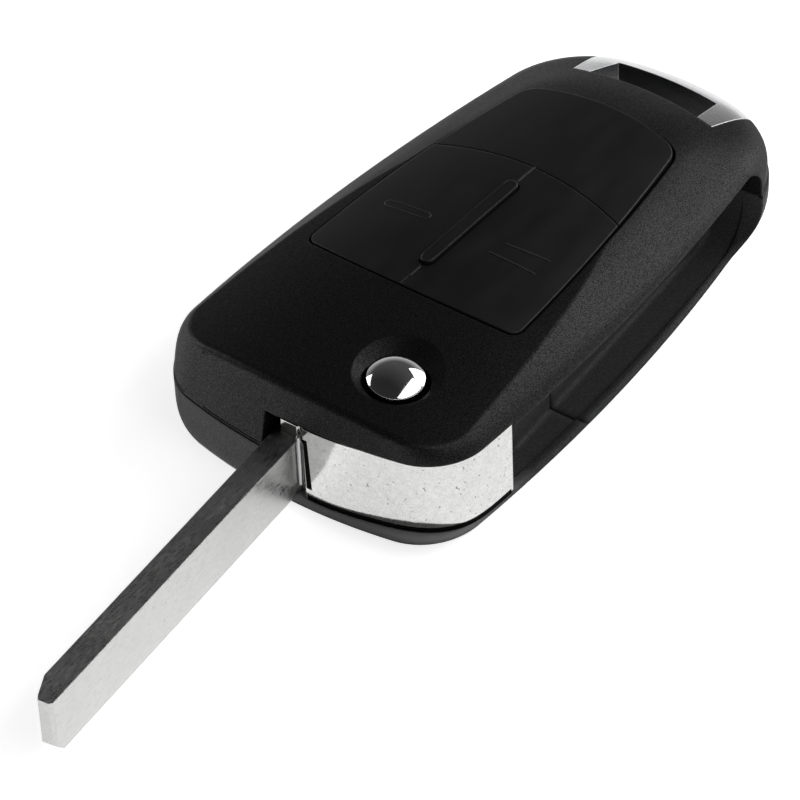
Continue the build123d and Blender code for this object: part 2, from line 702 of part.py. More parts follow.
def key_blade():
    """Uncut blade: flat sides, a nose eased on one side and along the bottom."""
    near = BLADE_NEAR
    far = BLADE_NEAR + BLADE_THICK
    tip = -BLADE_REACH
    plan = Polyline((tip, near + NOSE_SMALL), (tip + NOSE_SMALL, near), (BLADE_ROOT, near), (BLADE_ROOT, far),
                    (tip + NOSE_LENGTH, far), (tip + NOSE_STEP, far - NOSE_SIDE), (tip, far - NOSE_END), close=True)
    side = Polyline((tip, BLADE_LOW + NOSE_RISE), (tip + NOSE_RISE, BLADE_LOW), (BLADE_ROOT, BLADE_LOW),
                    (BLADE_ROOT, BLADE_HIGH), (tip, BLADE_HIGH), close=True)
    turn = radians(SPLAY)
    upright = Plane(origin=(PIVOT_X, PIVOT_Y, 0), x_dir=(cos(turn), sin(turn), 0), z_dir=(sin(turn), -cos(turn), 0))
    body = extrude(blade_plane(0) * make_face(plan), HEIGHT) & extrude(upright * make_face(side), FAR, both=True)
    return body - pin_rod(PIN_R, 0, HEIGHT)


def flip_hub():
    """Metal hub: blade seat, cross keyway for the release wings, spring cup and post bore."""
    body = Pos(0, 0, HUB_LOW) * extrude(hub_plan(), HUB_HIGH - HUB_LOW)
    body -= blade_box(-POCKET_R, BLADE_ROOT + SEAT_FIT, BLADE_NEAR, POCKET_R, HUB_LOW - 1, BLADE_HIGH)
    body -= blade_box(-POCKET_R, SHOULDER_CUT_X, BLADE_NEAR - 0.01, POCKET_R, HUB_LOW - 1, HUB_HIGH + 1)
    body -= blade_box(-POCKET_R, GROOVE_X, BLADE_NEAR - GROOVE_DEPTH, POCKET_R, BLADE_LOW + GROOVE_LIFT, BLADE_HIGH)
    body -= at_pivot(CUP_R, CUP_FLOOR, HEIGHT)
    body -= at_pivot(POST_R + POST_FIT, 0, POST_HIGH + POST_ROOM)
    keyway = block(-KEYWAY_R, KEYWAY_R, -KEYWAY_W / 2, KEYWAY_W / 2, KEYWAY_FLOOR, HEIGHT)
    body -= Pos(PIVOT_X, PIVOT_Y, 0) * keyway
    return body - pin_rod(PIN_R, 0, PIN_HIGH)


def blade_pin():
    return pin_rod(PIN_R, PIN_LOW, PIN_HIGH)


def pivot_post():
    return at_pivot(POST_NECK_R, POST_LOW, POCKET_FLOOR) + at_pivot(POST_R, POCKET_FLOOR, POST_HIGH)


def spring_washer():
    return at_pivot(WASHER_R, CUP_FLOOR, CUP_FLOOR + WASHER_T) - at_pivot(WASHER_HOLE_R, 0, HEIGHT)


def flip_spring():
    low = CUP_FLOOR + WASHER_T + SPRING_WIRE_R
    high = STEM_DISC_LOW - SPRING_SLACK - SPRING_WIRE_R
    path = Helix(pitch=(high - low) / SPRING_TURNS, height=high - low, radius=SPRING_R)
    section = Plane(origin=path @ 0, z_dir=path % 0) * Circle(SPRING_WIRE_R)
    return Pos(PIVOT_X, PIVOT_Y, low) * sweep(section, path=path)


def release_stem():
    disc_top = STEM_DISC_LOW + STEM_DISC_T
    body = at_pivot(STEM_R, STEM_LOW, STEM_DISC_LOW) + at_pivot(STEM_DISC_R, STEM_DISC_LOW, disc_top)
    body += at_pivot(NECK_R, disc_top, CAP_LOW + CAP_SEAT)
    wing = block(-WING_HALF, WING_HALF, -WING_W / 2, WING_W / 2, WING_LOW, WING_TOP)
    return body + Pos(PIVOT_X, PIVOT_Y, 0) * wing


def release_cap():
    """Domed cap pressed on the stem."""
    rise = CAP_TOP_Z - CAP_RIM_Z
    dome_r = (CAP_R ** 2 + rise ** 2) / (2 * rise)
    ball = Pos(PIVOT_X, PIVOT_Y, CAP_TOP_Z - dome_r) * Sphere(dome_r)
    body = at_pivot(CAP_R, CAP_LOW, HEIGHT + 2) & ball
    rim = body.edges().filter_by(lambda e: abs(e.center().Z - CAP_RIM_Z) < 0.1 and e.length > 10)
    return fillet(rim, CAP_SOFT) - at_pivot(NECK_R, 0, CAP_LOW + CAP_SEAT)


def lock_plate():
    body = lock_plate_blank(POCKET_TOP, POCKET_TOP + PLATE_T) - at_pivot(CAP_HOLE_R, 0, FAR)
    half = PLATE_NOTCH_W / 2
    notch = block(-PLATE_NOTCH_HALF, PLATE_NOTCH_HALF, -half, half, 0, FAR)
    return body - Pos(PIVOT_X, PIVOT_Y, 0) * notch


def case_screws():
    out = []
    for x, y in SCREW_SPOTS:
        screw = rod(x, y, SCREW_HEAD_R, SCREW_HEAD_LOW, SCREW_SEAT_Z) + rod(x, y, SCREW_R, SCREW_SEAT_Z, SCREW_TOP)
        cross = Box(CROSS_LENGTH, CROSS_WIDTH, 2 * CROSS_DEPTH) + Box(CROSS_WIDTH, CROSS_LENGTH, 2 * CROSS_DEPTH)
        out.append(screw - Pos(x, y, SCREW_HEAD_LOW) * cross)
    return Compound(out)


def chip_tray():
    """Open tray for the coded chip, standing on the case floor beside the hub."""
    body = block(TRAY_X0, TRAY_X1, TRAY_Y0, TRAY_Y1, WALL, WALL + TRAY_H)
    t = TRAY_WALL
    return body - block(TRAY_X0 + t, TRAY_X1 - t, TRAY_Y0 + t, TRAY_Y1 - t, WALL + t, HEIGHT)


def build():
    shell = lower_shell()
    pieces = {
        "upper_case": upper_case(),
        "lower_front_case": lower_front_case(shell),
        "battery_cover": battery_cover(shell),
        "ring_bar": ring_bar(),
        "pad_plate": pad_plate(),
        "lock_button": key(1),
        "unlock_button": key(-1),
        "keypad_mat": keypad_mat(),
        "flip_hub": flip_hub(),
        "key_blade": key_blade(),
        "blade_pin": blade_pin(),
        "pivot_post": pivot_post(),
        "spring_washer": spring_washer(),
        "flip_spring": flip_spring(),
        "release_stem": release_stem(),
        "release_cap": release_cap(),
        "lock_plate": lock_plate(),
        "case_screws": case_screws(),
        "chip_tray": chip_tray(),
    }
    return {name: Pos(-LENGTH / 2, 0, 0) * shape for name, shape in pieces.items()}


os.makedirs("parts", exist_ok=True)
for name, shape in build().items():
    export_step(shape, f"parts/{name}.step")
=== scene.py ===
import bmesh
import bpy
from math import atan2, cos, pi, radians, sin
from mathutils import Matrix, Vector
from mathutils.bvhtree import BVHTree


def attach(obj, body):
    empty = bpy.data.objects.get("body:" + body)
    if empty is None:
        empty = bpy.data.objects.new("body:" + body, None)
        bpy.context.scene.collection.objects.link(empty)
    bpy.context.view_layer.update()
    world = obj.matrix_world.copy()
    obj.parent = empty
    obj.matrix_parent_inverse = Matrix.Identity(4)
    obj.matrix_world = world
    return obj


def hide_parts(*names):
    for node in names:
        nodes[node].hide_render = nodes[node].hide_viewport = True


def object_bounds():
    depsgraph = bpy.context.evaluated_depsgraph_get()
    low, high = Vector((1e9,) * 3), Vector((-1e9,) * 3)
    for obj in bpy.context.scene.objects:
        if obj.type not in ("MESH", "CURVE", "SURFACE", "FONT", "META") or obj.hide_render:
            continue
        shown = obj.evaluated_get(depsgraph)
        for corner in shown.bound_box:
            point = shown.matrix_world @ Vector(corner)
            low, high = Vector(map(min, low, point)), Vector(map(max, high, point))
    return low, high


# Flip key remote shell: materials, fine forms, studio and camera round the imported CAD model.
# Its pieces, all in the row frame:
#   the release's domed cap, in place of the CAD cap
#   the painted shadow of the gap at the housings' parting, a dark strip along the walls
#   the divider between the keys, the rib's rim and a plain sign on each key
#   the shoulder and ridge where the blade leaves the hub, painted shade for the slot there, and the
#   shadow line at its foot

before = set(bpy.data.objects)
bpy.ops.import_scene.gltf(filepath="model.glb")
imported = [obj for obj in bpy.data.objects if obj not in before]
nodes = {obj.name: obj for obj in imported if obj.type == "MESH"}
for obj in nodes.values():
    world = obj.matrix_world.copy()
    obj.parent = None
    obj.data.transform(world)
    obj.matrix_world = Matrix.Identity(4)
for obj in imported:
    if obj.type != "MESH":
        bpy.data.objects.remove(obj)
scene = bpy.context.scene
CAD_BOX = [list(corner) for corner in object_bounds()]

# Blender takes metres. Sizes here are in millimetres and are turned by MM; angles in degrees
# are turned by radians().
MM = 0.001
UP = Vector((0, 0, 1))
FAR = 60.0                  # rays start this far out, beyond the case on every side
SHARP = 40                  # an added piece's edge that turns by more degrees stays sharp

# Camera: place, frame axes and lens of the photograph's viewpoint
CAMERA_PLACE = Vector((-289.31, -222.63, 307.31)) * MM
CAMERA_RIGHT = Vector((0.6084, -0.7929, -0.0342))
CAMERA_BACK = Vector((-0.5852, -0.4773, 0.6555))
CAMERA_LENS = 206.46
CAMERA_SENSOR = 36.0
CAMERA_CLIP = (0.01, 10)

# Facts of the CAD model that the added pieces and the materials follow
PIVOT = (-26.0, -7.5)       # X and Y of the blade's hinge and of the release
CROWN_TOP = 16.5            # the crown's highest point
CROWN_R = 60.0              # the crown's radius across the case
CROWN_LONG_R = 400.0        # and along it
PART_Z = 7.5                # the parting between the upper and the lower housing
LEDGE_Z = 1.8               # the ledge under the hub
PAD_FRONT_X = -13.9         # the rubber field's front edge
KEYS_REAR_X = 7.2           # the keys' rear edge
RIB_ENDS = (-11.7, 3.8)     # X of the rib between the keys
RIB_HALF = 0.75             # half its width


def crown_z(x, y):
    """Height of the case's crowned top over a point, in millimetres."""
    r = CROWN_LONG_R - (CROWN_R - (CROWN_R ** 2 - y * y) ** 0.5)
    return CROWN_TOP - CROWN_LONG_R + (r * r - x * x) ** 0.5


def spread(low, high, count):
    """Evenly spaced values from low to high, with both ends."""
    return [low + (high - low) * k / (count - 1) for k in range(count)]


def compass(count):
    """Cosine and sine of evenly spaced angles round a full turn."""
    return [(cos(2 * pi * k / count), sin(2 * pi * k / count)) for k in range(count)]


# Node-tree helpers

def fill(tree, node, values):
    """Sets a node's sockets: an output is linked, and a number or colour is set directly."""
    for socket, value in values.items():
        if isinstance(value, bpy.types.NodeSocket):
            tree.links.new(value, node.inputs[socket])
        else:
            node.inputs[socket].default_value = value


def add_node(tree, kind, values, operation=None):
    """A new shader node with its sockets filled."""
    node = tree.nodes.new("ShaderNode" + kind)
    if operation:
        node.operation = operation
    fill(tree, node, values)
    return node


def new_material(name):
    """A material, its node tree and its shader."""
    mat = bpy.data.materials.new(name)
    mat.use_nodes = True
    return mat, mat.node_tree, mat.node_tree.nodes["Principled BSDF"]


def coordinates(tree, stretch=(1, 1, 1), turn=0.0):
    """Object coordinates, stretched and turned about Z, for a texture."""
    place = add_node(tree, "TexCoord", {}).outputs["Object"]
    values = {"Vector": place, "Scale": stretch, "Rotation": (0, 0, turn)}
    return add_node(tree, "Mapping", values).outputs["Vector"]


def place_parts(tree, kind="Object"):
    """The X, Y and Z of a kind of coordinates."""
    place = add_node(tree, "TexCoord", {}).outputs[kind]
    return add_node(tree, "SeparateXYZ", {"Vector": place}).outputs


def noise(tree, vector, scale, detail, rough=0.5):
    """Cloudy noise; scale is in features per metre."""
    values = {"Vector": vector, "Scale": scale, "Detail": detail, "Roughness": rough}
    return add_node(tree, "TexNoise", values).outputs["Fac"]


def span(tree, value, source, target):
    """Carries a value from the source range to the target range, clamped."""
    values = {"Value": value, "From Min": source[0], "From Max": source[1],
              "To Min": target[0], "To Max": target[1]}
    return add_node(tree, "MapRange", values).outputs["Result"]


def ramp(tree, value, stops):
    """A colour ramp: stops are (place, grey or colour)."""
    node = add_node(tree, "ValToRGB", {"Fac": value})
    band = node.color_ramp
    while len(band.elements) < len(stops):
        band.elements.new(0.5)
    for element, (place, colour) in zip(band.elements, stops):
        element.position = place
        element.color = (*(colour if isinstance(colour, tuple) else (colour,) * 3), 1.0)
    return node.outputs["Color"]


def calc(tree, kind, a, b):
    """One operation on two values."""
    return add_node(tree, "Math", {0: a, 1: b}, kind).outputs["Value"]


def blend_of(tree, a, b, share):
    """A weighted sum: share of a, and the rest of b."""
    return calc(tree, "ADD", calc(tree, "MULTIPLY", a, share), calc(tree, "MULTIPLY", b, 1 - share))


def bump(tree, height, distance, strength, below=None):
    """Relief from a height; below is the normal it lies on."""
    values = {"Height": height, "Distance": distance, "Strength": strength}
    if below is not None:
        values["Normal"] = below
    return add_node(tree, "Bump", values).outputs["Normal"]


def soft_edges(tree, radius):
    """Normals of edges that look rounded."""
    node = add_node(tree, "Bevel", {"Radius": radius})
    node.samples = 6
    return node.outputs["Normal"]


def facing_away(tree):
    """0 where the surface faces the viewer, 1 at its outline: for gloss only."""
    return add_node(tree, "LayerWeight", {"Blend": 0.5}).outputs["Facing"]


def tint(shade, share):
    """A colour made darker or lighter."""
    return tuple(c * share for c in shade)


# Materials

# Painted light on the ledge under the hub: what its colour gains, where the band lies and how it
# fades
LIP_PAINTED_LIGHT = (0.2, 0.2, 0.2)     # what the ledge's tone gains
LIP_BAND = (0.04, 0.10)         # full this near to the ledge's height, and gone this far from it
LIP_FADE_X = (-27.0, -17.0)     # full in front of the first, and gone behind the second
LIP_TOP_Z = (2.2, 3.0)          # over these heights the edges' rounding narrows
LIP_EDGES = (1.3, 0.25)         # from the first radius to the second


def metres(values):
    """Millimetres turned into metres."""
    return [value * MM for value in values]


def lip_radius(tree):
    """Edge rounding that is wide on the ledge under the hub and narrow above it."""
    return span(tree, place_parts(tree)["Z"], metres(LIP_TOP_Z), metres(LIP_EDGES))


def painted_lip_light(tree, tone):
    """Painted light on the ledge under the hub: a lighter colour that stands for the floor's light
    reflected there, fading away behind it.
    """
    parts = place_parts(tree)
    near, gone = LIP_BAND
    low = span(tree, parts["Z"], metres((LEDGE_Z - gone, LEDGE_Z - near)), (0.0, 1.0))
    high = span(tree, parts["Z"], metres((LEDGE_Z + near, LEDGE_Z + gone)), (1.0, 0.0))
    front = span(tree, parts["X"], metres(LIP_FADE_X), (1.0, 0.0))
    much = calc(tree, "MULTIPLY", calc(tree, "MULTIPLY", low, high), front)
    lighter = add_node(tree, "VectorMath", {0: much, 1: LIP_PAINTED_LIGHT, 2: tone}, "MULTIPLY_ADD")
    return lighter.outputs["Vector"]


def grained_plastic(name, shade, gloss, shine, edge, sparkle, lip=False):
    """Black moulded plastic: an eroded grain of small facets that catch the light one by one."""
    mat, tree, shader = new_material(name)
    where = coordinates(tree)
    grain = noise(tree, where, scale=7000, detail=1.0, rough=0.6)
    specks = noise(tree, where, scale=8500, detail=1.0)
    cloud = noise(tree, where, scale=60, detail=3.0)
    tone = ramp(tree, specks, [(0.4, tint(shade, 0.8)), (0.7, tint(shade, 1.35))])
    facets = span(tree, specks, (0.4, 0.68), (shine * (1 - sparkle), shine * (1 + 2 * sparkle)))
    fade = span(tree, facing_away(tree), (0.4, 0.75), (1.0, 0.12))
    rounded = soft_edges(tree, lip_radius(tree) if lip else edge * MM)
    fill(tree, shader, {
        # with lip, the ledge under the hub gets painted light in its colour
        "Base Color": painted_lip_light(tree, tone) if lip else tone,
        "Roughness": span(tree, cloud, (0.35, 0.65), (gloss - 0.02, gloss + 0.03)),
        "Specular IOR Level": calc(tree, "MULTIPLY", facets, fade),
        "Normal": bump(tree, grain, distance=0.02 * MM, strength=0.5, below=rounded),
    })
    return mat


def pad_rubber(name, shade, gloss):
    """Smooth soft-touch rubber with faint handling marks."""
    mat, tree, shader = new_material(name)
    fine = noise(tree, coordinates(tree), scale=3800, detail=2.0)
    wipe = noise(tree, coordinates(tree, stretch=(1, 3, 1), turn=0.4), scale=120, detail=5.0)
    rounded = soft_edges(tree, 0.22 * MM)
    fill(tree, shader, {
        "Base Color": ramp(tree, wipe, [(0.3, tint(shade, 0.85)), (0.7, tint(shade, 1.2))]),
        "Roughness": span(tree, wipe, (0.3, 0.7), (gloss - 0.05, gloss + 0.06)),
        "Specular IOR Level": 0.4,
        "Normal": bump(tree, fine, distance=0.008 * MM, strength=0.5, below=rounded),
    })
    return mat


def brushed_steel(name, shade, turn):
    """Blade steel: short lengthwise scratches, speckle and faint stains."""
    mat, tree, shader = new_material(name)
    along = coordinates(tree, stretch=(0.22, 1, 1), turn=turn)
    strokes = noise(tree, along, scale=4200, detail=2.0, rough=0.6)
    wide = noise(tree, along, scale=700, detail=2.0)
    speck = noise(tree, coordinates(tree), scale=5200, detail=2.0)
    stain = noise(tree, coordinates(tree), scale=160, detail=4.0)
    mixed = blend_of(tree, strokes, speck, 0.6)
    tones = [(0.36, tint(shade, 0.88)), (0.5, shade), (0.66, tint(shade, 1.1))]
    scratched = span(tree, mixed, (0.35, 0.65), (0.24, 0.44))
    stained = span(tree, stain, (0.35, 0.65), (-0.03, 0.05))
    rounded = soft_edges(tree, 0.18 * MM)
    waves = bump(tree, wide, distance=0.012 * MM, strength=0.4, below=rounded)
    fill(tree, shader, {
        "Base Color": ramp(tree, mixed, tones),
        "Metallic": 1.0,
        "Anisotropic": 0.35,
        "Roughness": calc(tree, "ADD", scratched, stained),
        "Normal": bump(tree, mixed, distance=0.012 * MM, strength=0.6, below=waves),
    })
    return mat


def cast_metal(name, shade):
    """Satin plated casting: fine mottle, small pits and handling clouds."""
    mat, tree, shader = new_material(name)
    where = coordinates(tree)
    fine = noise(tree, where, scale=5200, detail=2.0, rough=0.6)
    mottle = noise(tree, where, scale=1500, detail=4.0, rough=0.65)
    pits = noise(tree, where, scale=2600, detail=1.0)
    cloud = noise(tree, coordinates(tree, stretch=(1, 1, 2.2)), scale=180, detail=4.0)
    mixed = blend_of(tree, fine, mottle, 0.55)
    tone = ramp(tree, mixed, [(0.36, tint(shade, 0.82)), (0.62, tint(shade, 1.06))])
    dark = ramp(tree, pits, [(0.24, 0.35), (0.30, 1.0)])
    pitted = add_node(tree, "VectorMath", {0: tone, 1: dark}, "MULTIPLY")
    handled = span(tree, cloud, (0.3, 0.7), (0.07, 0.13))
    mottled = span(tree, fine, (0.3, 0.7), (-0.01, 0.03))
    rounded = soft_edges(tree, 0.12 * MM)
    fill(tree, shader, {
        "Base Color": pitted.outputs["Vector"],
        "Metallic": 1.0,
        "Roughness": calc(tree, "ADD", handled, mottled),
        "Normal": bump(tree, mixed, distance=0.006 * MM, strength=0.5, below=rounded),
    })
    return mat


def satin_chrome(name, shade, gloss, edge):
    """Plated trim: even satin with hairline marks and bright edges."""
    mat, tree, shader = new_material(name)
    hair = noise(tree, coordinates(tree, stretch=(1, 0.06, 1)), scale=2400, detail=2.0)
    cloud = noise(tree, coordinates(tree), scale=220, detail=3.0)
    rounded = soft_edges(tree, edge * MM)
    fill(tree, shader, {
        "Base Color": ramp(tree, cloud, [(0.3, tint(shade, 0.93)), (0.7, shade)]),
        "Metallic": 1.0,
        "Roughness": span(tree, hair, (0.3, 0.7), (gloss - 0.02, gloss + 0.04)),
        "Normal": bump(tree, hair, distance=0.003 * MM, strength=0.4, below=rounded),
    })
    return mat


def pale_floor(name):
    """Matt white board lit from below, as a light table is."""
    mat, tree, shader = new_material(name)
    fibre = noise(tree, coordinates(tree), scale=300, detail=4.0)
    fill(tree, shader, {
        "Base Color": ramp(tree, fibre, [(0.3, 0.86), (0.7, 0.88)]),
        "Roughness": 0.75,
        "Emission Color": (1, 1, 1, 1),
        "Emission Strength": 0.76,
        "Normal": bump(tree, fibre, distance=0.02 * MM, strength=0.2),
    })
    return mat


CASE_PLASTIC = grained_plastic("case_plastic", (0.006, 0.006, 0.0062),
                               gloss=0.40, shine=0.19, edge=0.25, sparkle=0.5)
# its ledge under the hub carries painted light, through lip
LOWER_PLASTIC = grained_plastic("lower_plastic", (0.038, 0.038, 0.0385),
                                gloss=0.42, shine=0.19, edge=0.25, sparkle=0.4, lip=True)
INNER_PLASTIC = grained_plastic("inner_plastic", (0.03, 0.03, 0.031),
                                gloss=0.5, shine=0.3, edge=0.1, sparkle=0.3)
# painted shade: near-black for the shadow in the parting's gap, in the hub's slot and at the hub's
# foot
PAINTED_SHADE_BLACK = grained_plastic("painted_shade_black", (0.002, 0.002, 0.002),
                             gloss=0.7, shine=0.05, edge=0.02, sparkle=0.3)
PAD_RUBBER = pad_rubber("pad_rubber", (0.005, 0.005, 0.0052), gloss=0.42)
MAT_RUBBER = pad_rubber("mat_rubber", (0.04, 0.04, 0.042), gloss=0.6)
PAD_EDGE = pad_rubber("pad_edge", (0.022, 0.022, 0.0222), gloss=0.36)
BLADE_STEEL = brushed_steel("blade_steel", (0.56, 0.56, 0.555), turn=radians(6))
HUB_METAL = cast_metal("hub_metal", (0.65, 0.65, 0.64))
TRIM_CHROME = satin_chrome("trim_chrome", (0.60, 0.60, 0.61), gloss=0.20, edge=0.14)
CAP_CHROME = satin_chrome("cap_chrome", (0.86, 0.86, 0.87), gloss=0.06, edge=0.15)
PLAIN_STEEL = satin_chrome("plain_steel", (0.5, 0.5, 0.5), gloss=0.3, edge=0.08)

NODE_MATERIALS = {
    "upper_case": CASE_PLASTIC,
    "lower_front_case": LOWER_PLASTIC,
    "battery_cover": LOWER_PLASTIC,
    "pad_plate": PAD_RUBBER,
    "lock_button": PAD_RUBBER,
    "unlock_button": PAD_RUBBER,
    "keypad_mat": MAT_RUBBER,
    "chip_tray": INNER_PLASTIC,
    "release_stem": INNER_PLASTIC,
    "release_cap": CAP_CHROME,
    "ring_bar": TRIM_CHROME,
    "flip_hub": HUB_METAL,
    "key_blade": BLADE_STEEL,
    "blade_pin": PLAIN_STEEL,
    "pivot_post": PLAIN_STEEL,
    "spring_washer": PLAIN_STEEL,
    "flip_spring": PLAIN_STEEL,
    "lock_plate": PLAIN_STEEL,
    "case_screws": PLAIN_STEEL,
}


def dress_nodes():
    """Gives each CAD node its material."""
    for name, mat in NODE_MATERIALS.items():
        materials = nodes[name].data.materials
        materials.clear()
        materials.append(mat)


# Helpers for the added pieces

def surface(*names):
    """Search trees of CAD nodes, for setting pieces on them."""
    meshes = [nodes[name].data for name in names]
    return [BVHTree.FromPolygons([v.co for v in mesh.vertices],
                                 [tuple(p.vertices) for p in mesh.polygons]) for mesh in meshes]


def cast(trees, start, way):
    """The first point where a ray meets the surfaces, in millimetres, or None."""
    hits = [tree.ray_cast(start * MM, way)[0] for tree in trees]
    hits = [hit / MM for hit in hits if hit is not None]
    return min(hits, key=lambda hit: (hit - start).length, default=None)


def lay_on(trees, points, lift=0.0):
    """Points of a plan, raised to the top of the surfaces and lifted by a little."""
    return [(x, y, cast(trees, Vector((x, y, FAR)), -UP).z + lift) for x, y in points]


def skin(name, rings, mat, body, loop=False):
    """A closed mesh over rings of points, with end faces unless the rings close on themselves."""
    work = bmesh.new()
    rows = [[work.verts.new(Vector(p) * MM) for p in ring] for ring in rings]
    count = len(rows[0])
    pairs = list(zip(rows, rows[1:])) + ([(rows[-1], rows[0])] if loop else [])
    for low, high in pairs:
        for i in range(count):
            j = (i + 1) % count
            work.faces.new((low[i], low[j], high[j], high[i]))
    if not loop:
        work.faces.new(rows[0][::-1])
        work.faces.new(rows[-1])
    bmesh.ops.recalc_face_normals(work, faces=work.faces)
    mesh = bpy.data.meshes.new(name)
    work.to_mesh(mesh)
    work.free()
    mesh.shade_smooth()
    mesh.set_sharp_from_angle(angle=radians(SHARP))
    mesh.materials.append(mat)
    piece = bpy.data.objects.new(name, mesh)
    scene.collection.objects.link(piece)
    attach(piece, body)
    return piece


def sideways(path, loop=False):
    """The level direction to the right of a path, at each of its points."""
    last = len(path) - 1
    sides = []
    for i in range(len(path)):
        before = path[i - 1] if i or loop else path[0]
        after = path[(i + 1) % len(path)] if i < last or loop else path[last]
        along = (Vector(after) - Vector(before)).normalized()
        sides.append(along.cross(UP).normalized())
    return sides


def bead(name, path, half, rise, body, slot, loop=False):
    """A low rounded ridge of pad rubber along a path of points on a surface."""
    rings = [[Vector(point) + side * half * c + UP * rise * s for c, s in compass(10)]
             for point, side in zip(path, sideways(path, loop))]
    skin(name, rings, PAD_EDGE, body, loop)


def strip_ring(point, out, base, heights):
    """One ring of a thin strip on a wall: rooted in the wall and just proud of it.

    The strip's foot, middle and top are at heights above base."""
    root, face, belly = -0.1, 0.02, 0.03
    foot, middle, top = heights
    section = ((root, foot), (face, foot), (belly, middle), (face, top), (root, top))
    return [Vector((point.x, point.y, base)) + out * o + UP * z for o, z in section]


def stadium(ends, radius, first, arc_points, side_points=0):
    """Points round a slot shape: a half turn about each end, and points along its two sides.

    The half turn about the first end starts at the angle first."""
    path = []
    for (x, y), (to_x, to_y), start in ((ends[0], ends[1], first), (ends[1], ends[0], first + pi)):
        path += [(x + radius * cos(turn), y + radius * sin(turn))
                 for turn in spread(start, start + pi, arc_points)]
        off_x, off_y = radius * cos(start + pi), radius * sin(start + pi)
        steps = side_points + 1
        path += [(x + off_x + (to_x - x) * k / steps, y + off_y + (to_y - y) * k / steps)
                 for k in range(1, steps)]
    return path


# The release's cap

CAP_R = 2.95                # the dome's radius in plan
CAP_NECK = 2.4              # the hollow's radius, underneath
CAP_LOW = 13.6              # the cap's foot
CAP_RECESS = 0.4            # the hollow's depth
CAP_CHAMFER = 0.1           # at the foot
CAP_INSET = 0.05            # the wall stands this far inside the rim, and ends this far below it
CAP_UPRIGHT = 0.5           # so much of the foot stands upright, and the rest leans
CAP_RIM_Z = 15.18           # where the dome would meet the radius CAP_R
CAP_ROUND = 0.22            # the rim's rounding
CAP_DOME = 1.15             # the dome's height
CAP_TILT = (0.065, 0.125)   # how much the leaning part rises per millimetre along X and Y


def domed_cap():
    """A domed lens with a rounded rim that leans with the crown, in place of the CAD cap."""
    ball = (CAP_R ** 2 + CAP_DOME ** 2) / (2 * CAP_DOME)
    middle = CAP_RIM_Z + CAP_DOME - ball
    rim = CAP_R - CAP_ROUND
    rise = ((ball - CAP_ROUND) ** 2 - rim ** 2) ** 0.5
    rim_z = middle + rise
    meet = atan2(rise, rim)
    wall = CAP_R - CAP_INSET
    profile = [(CAP_NECK, CAP_LOW + CAP_RECESS), (CAP_NECK, CAP_LOW), (wall - CAP_CHAMFER, CAP_LOW),
               (wall, CAP_LOW + CAP_CHAMFER), (wall, rim_z - CAP_INSET)]
    profile += [(rim + CAP_ROUND * cos(turn), rim_z + CAP_ROUND * sin(turn))
                for turn in spread(0.0, meet, 9)[:-1]]
    profile += [(ball * cos(turn), middle + ball * sin(turn))
                for turn in spread(meet, pi / 2, 25)[:-1]]
    rings = []
    for radius, z in profile:
        lean_x, lean_y = CAP_TILT if z > CAP_LOW + CAP_UPRIGHT else (0.0, 0.0)
        ring = [(radius * c, radius * s) for c, s in compass(96)]
        rings.append([(PIVOT[0] + x, PIVOT[1] + y, z + (lean_x * x + lean_y * y)) for x, y in ring])
    cap = skin("domed_cap", rings, CAP_CHROME, "release")
    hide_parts("release_cap")


# The painted shadow in the housings' parting line

SEAM_HEIGHTS = (0.0, 0.11, 0.22)    # the strip's foot, middle and top, above the parting
SEAM_LOOK = 0.2             # the walls are looked for this far above and below the parting
SEAM_AIM = 18.0             # the rays aim at the case's mid-line, as far as this from its middle
SEAM_STEP = 0.6             # the most that one housing may stand back from the other
SEAM_STRAY = 0.3            # the most that a wall may differ from its mirror image
SEAM_GAP = 2.5              # the most that two points of a run may be apart
SEAM_FEWEST = 6             # shorter runs are left out


def parting_shadow():
    """Painted shadow of the gap where the two housings meet: a dark strip laid on the wall just
    above the parting.
    """
    upper = surface("upper_case")
    lower = surface("lower_front_case", "battery_cover")

    def wall(turn, z, trees):
        start = Vector((cos(turn) * FAR, sin(turn) * FAR, z))
        way = (Vector((cos(turn) * SEAM_AIM, 0, z)) - start).normalized()
        return cast(trees, start, way)

    def both_walls(turn):
        above = wall(turn, PART_Z + SEAM_LOOK, upper)
        below = wall(turn, PART_Z - SEAM_LOOK, lower)
        if above is None or below is None or (above.xy - below.xy).length > SEAM_STEP:
            return None
        return above

    def belongs(point, turn, run):
        """Whether the line goes on here. It leaves out the openings for hub, blade and key ring:
        on the far side by the jump from the last point, on the blade's side by the mirror image."""
        if point is None:
            return False
        if sin(turn) >= 0:
            return not run or (point - run[-1]).length < SEAM_GAP
        other = both_walls(-turn)
        return other is not None and (point.xy - Vector((other.x, -other.y))).length < SEAM_STRAY

    runs = [[]]
    for turn in spread(0.0, 2 * pi, 361):
        point = both_walls(turn)
        if belongs(point, turn, runs[-1]):
            runs[-1].append(point)
        elif runs[-1]:
            runs.append([])
    runs = [run for run in runs if len(run) >= SEAM_FEWEST]
    for number, run in enumerate(runs, 1):
        rings = [strip_ring(point, out, PART_Z, SEAM_HEIGHTS)
                 for point, out in zip(run, sideways(run))]
        skin("parting_seam_%d" % number, rings, PAINTED_SHADE_BLACK, "case")


# The keys

# Each bead's half width and its rise over its path
DIVIDER_BEAD = (0.15, 0.05)
RIM_BEAD = (0.13, 0.035)
BAR_BEAD = (0.08, 0.025)
STROKE_BEAD = (0.14, 0.03)
DIVIDER_LIFT = 0.03         # the divider's path, above the crown
DIVIDER_GAP = 0.4           # between the divider and the rib's end
RIM_INSET = 0.12            # the rim's path, inside the rib's edge
RIM_SINK = 0.03             # and below its top
BAR_MIDDLE = (-5.4, 6.8)
BAR_HALF = (0.5, 2.35)      # its radius, and from its middle to its ends' centres
STROKES = (                 # name and the two ends
    ("unlock_sign_a", (-4.4, -4.8), (-3.5, -9.8)),
    ("unlock_sign_b", (-6.4, -4.2), (-6.0, -9.7)),
)


